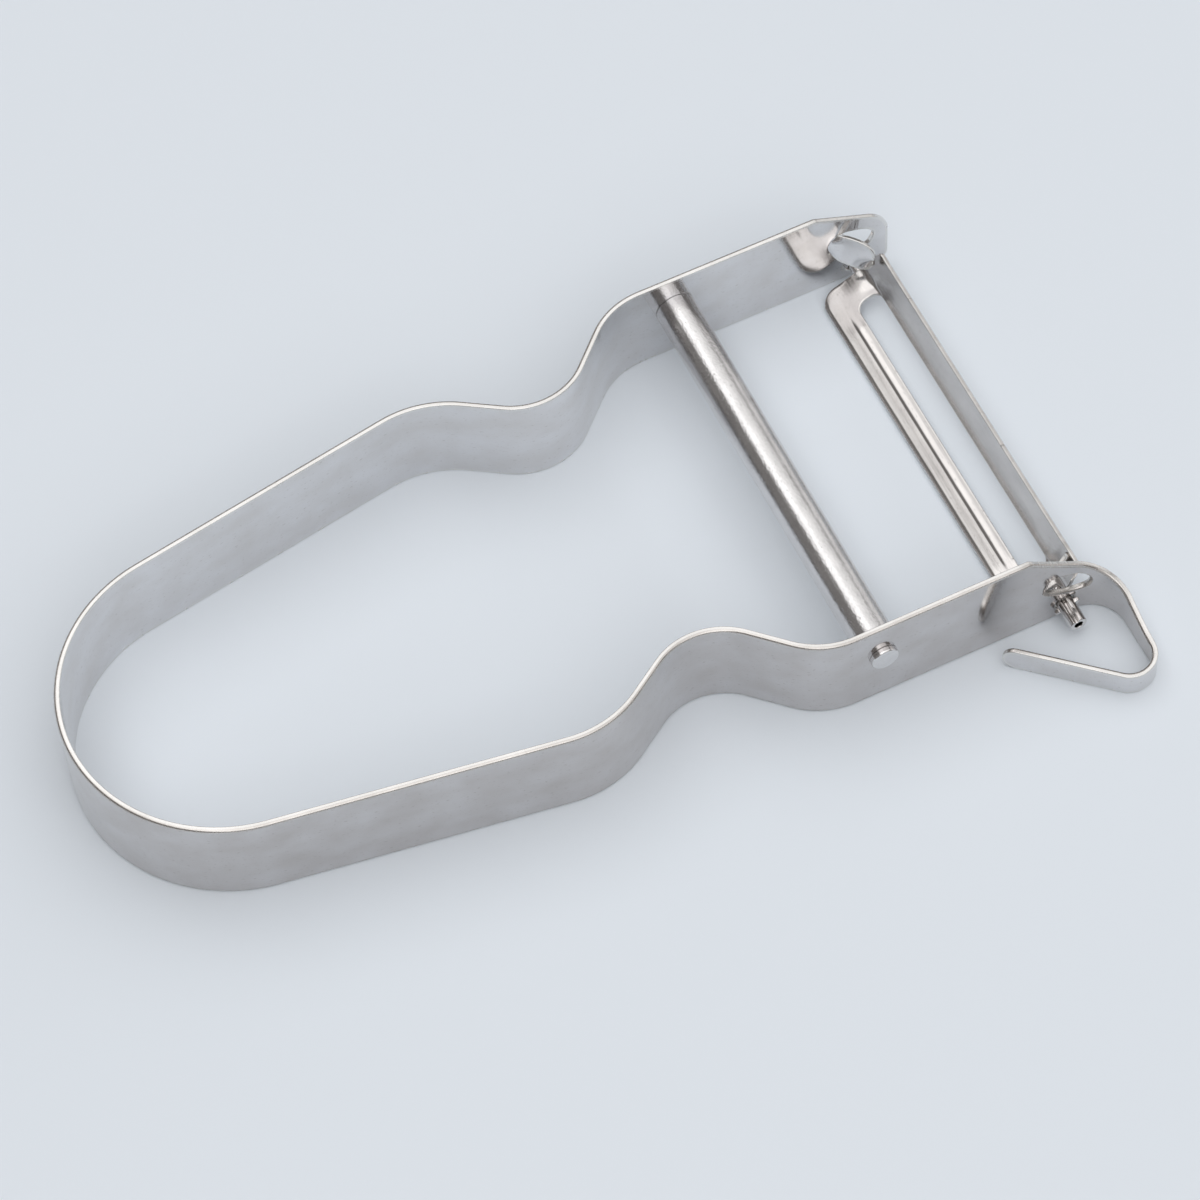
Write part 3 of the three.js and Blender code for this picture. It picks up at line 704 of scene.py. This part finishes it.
def pole_faces(rows, count):
    """Triangles that close a grid's first and last ring on two single points, numbered after its own."""
    ring, pole = np.arange(count), np.full(count, rows * count)
    after, end = np.roll(ring, -1), (rows - 1) * count
    first_end = np.stack([pole, ring, after], 1)
    return np.concatenate([first_end, np.stack([pole + 1, after + end, ring + end], 1)])

def turned(profile, closed, count=64, seam=0.0):
    """A profile carried round the Y axis: x is the radius times the cosine and z the radius times the sine.
    A seam is a narrow dip of the radius at the top, a share of it deep. An open profile ends on the axis in
    two single points."""
    angle = np.linspace(0, 2 * np.pi, count, endpoint=False)
    rows = profile if closed else profile[1:-1]
    dip = np.exp(-((angle - np.pi / 2) / SEAM_HALF) ** SEAM_POWER)
    radius = rows[:, 1:] * (1 - np.reshape(seam, (-1, 1)) * dip)
    x, z = radius * np.cos(angle), radius * np.sin(angle)
    points = np.stack([x, np.repeat(rows[:, :1], count, axis=1), z], -1)
    normals = grid_normals(points, closed)
    grain = np.stack([points[..., 1], np.broadcast_to(angle * rows[:, 1:].max(), x.shape)], -1)
    looped = np.concatenate([points, points[:1]]) if closed else points
    blocks = [grid_faces(len(looped), count, closed=True)[:, ::-1] % (len(rows) * count)]
    points, normals, grain = points.reshape(-1, 3), normals.reshape(-1, 3), grain.reshape(-1, 2)
    if not closed:
        blocks.append(pole_faces(len(rows), count))
        poles = np.array([[0, profile[0, 0], 0], [0, profile[-1, 0], 0]])
        way = np.sign(profile[-1, 0] - profile[0, 0])
        points = np.concatenate([points, poles])
        normals = np.concatenate([normals, [[0, -way, 0], [0, way, 0]]])
        grain = np.concatenate([grain, poles[:, [1, 0]]])
    return points, normals, grain, blocks

print("triangles that close a round bar", len(pole_faces(2, 64)))

# %% Crossbar
CROSSBAR = np.array([83.1, 0, 7.8])
BORE, TUBE_RADIUS, TUBE_HALF = 1.45, 2.36, 25.1
BAR_RADIUS, HEAD_BASE, HEAD_END, HEAD_FOOT, HEAD_TOP = 1.35, 1.65, 1.6, 25.8, 26.5
tube_steel = steel("drawn_tube_steel", (0.62, 0.61, 0.61), (0.72, 0.71, 0.71), 0.12, 0.22,
                   (380, 420), (30, 60), 1.6)
rivet_steel = steel("polished_rivet_steel", (0.70, 0.69, 0.69), (0.78, 0.77, 0.77), 0.12, 0.2,
                    (300, 300), (60, 60), 0.15)
tube_corners = [(0, BORE), (-TUBE_HALF, BORE), (-TUBE_HALF, TUBE_RADIUS),
                (TUBE_HALF, TUBE_RADIUS), (TUBE_HALF, BORE), (0, BORE)]
tube_profile = rounded_profile(tube_corners, [0.1, 0.12, 0.12, 0.1])[:-1]
tube_points, *tube_rest = turned(tube_profile, True, 96)
sleeve = make_piece("crossbar_tube", tube_points + CROSSBAR, *tube_rest, [tube_steel])
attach(sleeve, "frame")
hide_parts("crossbar_sleeve")
rivet_corners = [(-HEAD_TOP, 0), (-HEAD_TOP, HEAD_END), (-HEAD_FOOT, HEAD_BASE), (-HEAD_FOOT, BAR_RADIUS),
                 (HEAD_FOOT, BAR_RADIUS), (HEAD_FOOT, HEAD_BASE), (HEAD_TOP, HEAD_END), (HEAD_TOP, 0)]
rivet_profile = rounded_profile(rivet_corners, [0.24, 0.1, 0.05, 0.05, 0.1, 0.24])
rivet_points, *rivet_rest = turned(rivet_profile, False)
rivet = make_piece("crossbar_rivet_bar", rivet_points + CROSSBAR, *rivet_rest, [rivet_steel])
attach(rivet, "frame")
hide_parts("crossbar_rivet")

# %% [markdown]
# ## The blade
# The blade is pressed from one sheet: a flat guard limb with a stiffening groove, a slot for the peel, and a
# cutting limb bent up along the slot. Cutting and bending a flat mesh in Blender would leave uneven faces at
# the bend. So the sheet is laid out flat first, as rings between the slot and the outer edge, and then each
# point is carried round the bend: up to the bend the sheet runs flat, and past it in the direction of the
# cutting limb. The guard limb's free edge rolls down a little, and the bend grows softer towards each pin.

# %% Blade laid out flat
FLANGE_ANGLE, BEND_RADIUS = math.radians(49), 0.6
BLADE_HALF, GUARD_EDGE, GUARD_CORNER = 23.6, -5.35, 2.2
BEND_AT, FLANGE_WIDTH, FLANGE_CORNER, FLANGE_TAPER = 1.0, 3.85, 0.5, 0.9
SLOT_HALF, SLOT_EDGE, SLOT_CORNER, SLOT_SHIFT, SLOT_TO_BEND = 20.4, -2.15, 1.3, -0.4, 0.02
NEAR_STRETCH, NEAR_LEAN, STRETCH_ACROSS, STRETCH_ALONG = 1.2, 0.5, (0.2, 1.2), (19, 22)
BLADE_RIM, BLADE_RINGS = 0.15, 37
flange_end = BEND_AT + FLANGE_WIDTH + BEND_RADIUS * (FLANGE_ANGLE - 2 * math.tan(FLANGE_ANGLE / 2))

def rounded_loop(left, right, half, left_radius, right_radius, long_steps=110, corner_steps=10, end_steps=26):
    """A rounded rectangle as one loop: along the left side, round the far end, back on the right, and round
    the near end. Each corner is a quarter circle."""
    turn = np.linspace(0, np.pi / 2, corner_steps + 1)
    run = np.linspace(-1, 1, long_steps + 1)
    share = np.linspace(0, 1, end_steps + 1)
    rise, fall = 1 - np.cos(turn), 1 - np.sin(turn)
    end_length = right - right_radius - left - left_radius
    left_side = np.stack([np.full(long_steps, left), run[:-1] * (half - left_radius)], 1)
    left_corner = np.stack([left + left_radius * rise, half - left_radius * fall], 1)
    end = np.stack([left + left_radius + end_length * share, np.full(len(share), half)], 1)
    right_corner = np.stack([right - right_radius * fall, half - right_radius * rise], 1)
    right_side = np.stack([np.full(long_steps, right), run[::-1][:-1] * (half - right_radius)], 1)
    far_end = np.concatenate([left_corner[:-1], end[:-1], right_corner])
    near_end = far_end[::-1] * mirror
    return np.concatenate([left_side, far_end[:-1], right_side, near_end[:-1]])

slot_loop = rounded_loop(SLOT_EDGE - BLADE_RIM, BEND_AT - SLOT_TO_BEND + BLADE_RIM, SLOT_HALF + BLADE_RIM,
                         SLOT_CORNER + BLADE_RIM, SLOT_CORNER + BLADE_RIM)
slot_loop[:, 1] += SLOT_SHIFT
outer_loop = rounded_loop(GUARD_EDGE + BLADE_RIM, flange_end - BLADE_RIM, BLADE_HALF - BLADE_RIM,
                          GUARD_CORNER - BLADE_RIM, FLANGE_CORNER - BLADE_RIM)
lean = np.clip((outer_loop[:, 0] - BEND_AT) / (flange_end - BEND_AT), 0, 1)
outer_loop[:, 1] *= 1 - FLANGE_TAPER / BLADE_HALF * lean
outer_loop[:, 1] += SLOT_SHIFT * lean
stretch = smooth(outer_loop[:, 0], *STRETCH_ACROSS) * smooth(-outer_loop[:, 1], *STRETCH_ALONG)
outer_loop[:, 1] -= (NEAR_STRETCH + NEAR_LEAN * lean) * stretch
blade_share = np.linspace(0, 1, BLADE_RINGS)
flat_blade = slot_loop + (outer_loop - slot_loop) * blade_share[:, None, None]
print("blade rings", flat_blade.shape[:2], "laid out to", flat_blade.reshape(-1, 2).max(0).round(2))

# %% Blade bent and pressed
BLADE_THICKNESS = 0.55
END_BEND_RADIUS, SOFT_BEND = 1.6, (20.2, 22.0)
GROOVE_END, GROOVE_FADE, WAVE_POINTS = -2.0, (16.8, 19.6), 200
DISH, DISH_ACROSS, DISH_ALONG = 0.28, (-3.0, 0.4), (20.4, 22.8)
LIP_DROP, LIP_SHARE, LIP_ACROSS = 0.1, 0.87, (-2.5, -1.0)
wave_u = np.linspace(GUARD_EDGE, GROOVE_END, WAVE_POINTS)
wave_tilt = np.interp(wave_u, [-5.1, -4.9, -4.5, -4.1, -3.75, -3.55, -3.4, -3.2, -3.0, -2.7, -2.2],
                      [4, -3.2, -4, -5.2, -3.3, -4, -18, -3, 5, -3.2, -4.6])
wave_up = -np.cumsum(np.tan(np.radians(wave_tilt))) * (wave_u[1] - wave_u[0])
wave_up = wave_up - wave_up[0]

def pressed(u, y, share):
    """The bent sheet: flat, then round the bend, then straight up the cutting limb. The guard limb carries a
    wave, which is the sum of its slopes: a rounded border, a groove with one steep side and a ridge. Its free
    edge rolls down. At the two ends the bend is softer, and the shoulder is dished up to its pin."""
    end = np.abs(y)
    radius = BEND_RADIUS + (END_BEND_RADIUS - BEND_RADIUS) * smooth(end, *SOFT_BEND)
    start = BEND_AT - radius * math.tan(FLANGE_ANGLE / 2)
    angle = np.clip((u - start) / radius, 0, FLANGE_ANGLE)
    past = np.maximum(u - start - radius * FLANGE_ANGLE, 0)
    across = np.minimum(u, start) + radius * np.sin(angle) + past * math.cos(FLANGE_ANGLE)
    up = radius * (1 - np.cos(angle)) + past * math.sin(FLANGE_ANGLE)
    up = up + (1 - smooth(end, *GROOVE_FADE)) * np.interp(u, wave_u, wave_up)
    up = up + DISH * smooth(u, *DISH_ACROSS) * smooth(end, *DISH_ALONG)
    lip = np.clip((share - LIP_SHARE) / (1 - LIP_SHARE), 0, 1) ** 2
    up = up - LIP_DROP * lip * (1 - smooth(u, *LIP_ACROSS))
    return np.stack([across, y, up], -1)

bent_blade = pressed(flat_blade[..., 0], flat_blade[..., 1], blade_share[:, None])
blade_normals = -grid_normals(bent_blade, False)
blade_normals = blade_normals * np.sign(blade_normals[..., 2:])
blade_grain = flat_blade.reshape(-1, 2)[:, ::-1]
blade_faces = grid_faces(*bent_blade.shape[:2], closed=True)
blade_rings = (bent_blade.reshape(-1, 3), blade_normals.reshape(-1, 3), blade_grain, blade_faces)
blade_sheet = join_sheets([blade_rings])
*sheet_arrays, sheet_faces, sheet_kind = thick_sheet(*blade_sheet, BLADE_THICKNESS, BLADE_RIM, BLADE_RIM)
print("blade reach", sheet_arrays[0].min(0).round(2), sheet_arrays[0].max(0).round(2))

# %% [markdown]
# ## Pins of the blade
# At each end the sheet is rolled into a thin hollow pin that runs through the arm. Rolling up the real sheet
# would take many points for a pin two millimetres thick, so the pin is a turned profile with a narrow neck in
# the sheet's end, and a seam along its top shows where the rolled sides meet. Two small ears outside the arm
# keep it from slipping back.

# %% Pins and ears
PIN_RADIUS, PIN_END, NECK_RADIUS, PIN_BORE, BORE_END, PIN_SIDES = 1.0, 29.0, 0.6, 0.5, 26.0, 120
SEAM_DEPTH, SEAM_ALONG, SEAM_ABOVE = 0.42, (23.2, 24.2), 0.75
EAR_AT, EAR_HALF = np.array([0, 26.3, 0]), np.array([1.55, 0.32, 0.36])
pin_corners = [(23.0, 0), (23.05, 0.35), (24.0, NECK_RADIUS), (25.0, NECK_RADIUS), (25.3, PIN_RADIUS),
               (PIN_END, PIN_RADIUS), (PIN_END, PIN_BORE), (BORE_END, PIN_BORE), (BORE_END, 0)]
pin_profile = rounded_profile(pin_corners, [0.15, 0.6, 0.2, 0.2, 0.14, 0.1, 0.1])
pin_at, pin_radius = pin_profile[1:-1].T
pin = turned(pin_profile, False, PIN_SIDES,
             seam=SEAM_DEPTH * smooth(pin_at, *SEAM_ALONG) * (pin_radius > SEAM_ABOVE))

def pillow(centre, half, power=0.55, rows=18, count=32):
    """A rounded block: a ball whose sines and cosines are raised to a power below one, which fills it out."""
    lift = np.linspace(-np.pi / 2, np.pi / 2, rows + 1)[1:-1, None]
    angle = np.linspace(0, 2 * np.pi, count, endpoint=False)
    level = swell(np.cos(lift), power)
    block = np.stack([level * swell(np.cos(angle), power), swell(np.sin(lift), power) * np.ones(count),
                      level * swell(np.sin(angle), power)], -1)
    normals = unit(np.sign(block) * np.abs(block) ** (2 / power - 1) / half)
    poles = np.array([[0, -1, 0], [0, 1, 0]])
    points = np.concatenate([block.reshape(-1, 3), poles]) * half + centre
    blocks = [grid_faces(rows - 1, count, closed=True)[:, ::-1], pole_faces(rows - 1, count)]
    return points, np.concatenate([normals.reshape(-1, 3), poles]), points[:, [1, 0]], blocks

def over(part):
    """The same part at the near end: its lengths change sign, and so does the order of each face."""
    points, normals, grain, blocks = part
    flip = np.array([1, -1, 1])
    return points * flip, normals * flip, grain, [block[:, ::-1] for block in blocks]

ears = pillow(EAR_AT, EAR_HALF)
end_parts = [pin, ears, over(pin), over(ears)]
print("pin rows", len(pin_profile), "ear points", len(ears[0]))

# %% Blade put together
BLADE_TILT = math.radians(20)
BLADE_FACE, BLADE_EDGE, PIN_FACE = range(3)

def put_together(parts):
    """Joins parts of (points, normals, grain, blocks of faces) into one, with the faces counted on."""
    first = np.cumsum([0] + [len(part[0]) for part in parts])
    blocks = [block + start for part, start in zip(parts, first) for block in part[3]]
    return [np.concatenate([part[k] for part in parts]) for k in range(3)] + [blocks]

def to_rest(points):
    """Turns points about the pivot axis to the tilt at rest; sideways and upwards turn together."""
    cos, sin = math.cos(BLADE_TILT), math.sin(BLADE_TILT)
    return np.stack([points[..., 0] * cos - points[..., 2] * sin, points[..., 1],
                     points[..., 0] * sin + points[..., 2] * cos], -1)

blade_steel = steel("polished_blade_steel", (0.55, 0.53, 0.52), (0.65, 0.63, 0.615), 0.11, 0.19,
                    (20, 600), (16, 50), 0.2)
pin_steel = steel("burnished_pin_steel", (0.68, 0.66, 0.65), (0.76, 0.74, 0.73), 0.05, 0.1,
                  (200, 200), (60, 60), 0.15)
blade_edge = steel("ground_blade_edge", (0.62, 0.605, 0.59), (0.72, 0.705, 0.69), 0.16, 0.26,
                   (200, 900), (30, 30), 0.2)
whole_points, whole_normals, whole_grain, blocks = put_together([(*sheet_arrays, [sheet_faces])] + end_parts)
sheet_finish = np.where(np.isin(sheet_kind, [FACE_EDGE, FACE_TURNED]), BLADE_EDGE, BLADE_FACE)
pin_finish = np.full(sum(len(block) for block in blocks[1:]), PIN_FACE)
blade_points = to_rest(whole_points) + np.array([PIVOT_X, 0, PIVOT_Z])
blade = make_piece("slotted_swivel_blade", blade_points, to_rest(whole_normals), whole_grain, blocks,
                   [blade_steel, blade_edge, pin_steel], np.concatenate([sheet_finish, pin_finish]))
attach(blade, "blade")
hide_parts("swivel_blade")
for node in ("frame_strip", "crossbar_sleeve", "crossbar_rivet", "swivel_blade"):
    low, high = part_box(node)
    print(node, np.round(np.array(low) / MM, 2), np.round(np.array(high) / MM, 2))
print("blade box", blade_points.min(0).round(2), blade_points.max(0).round(2))
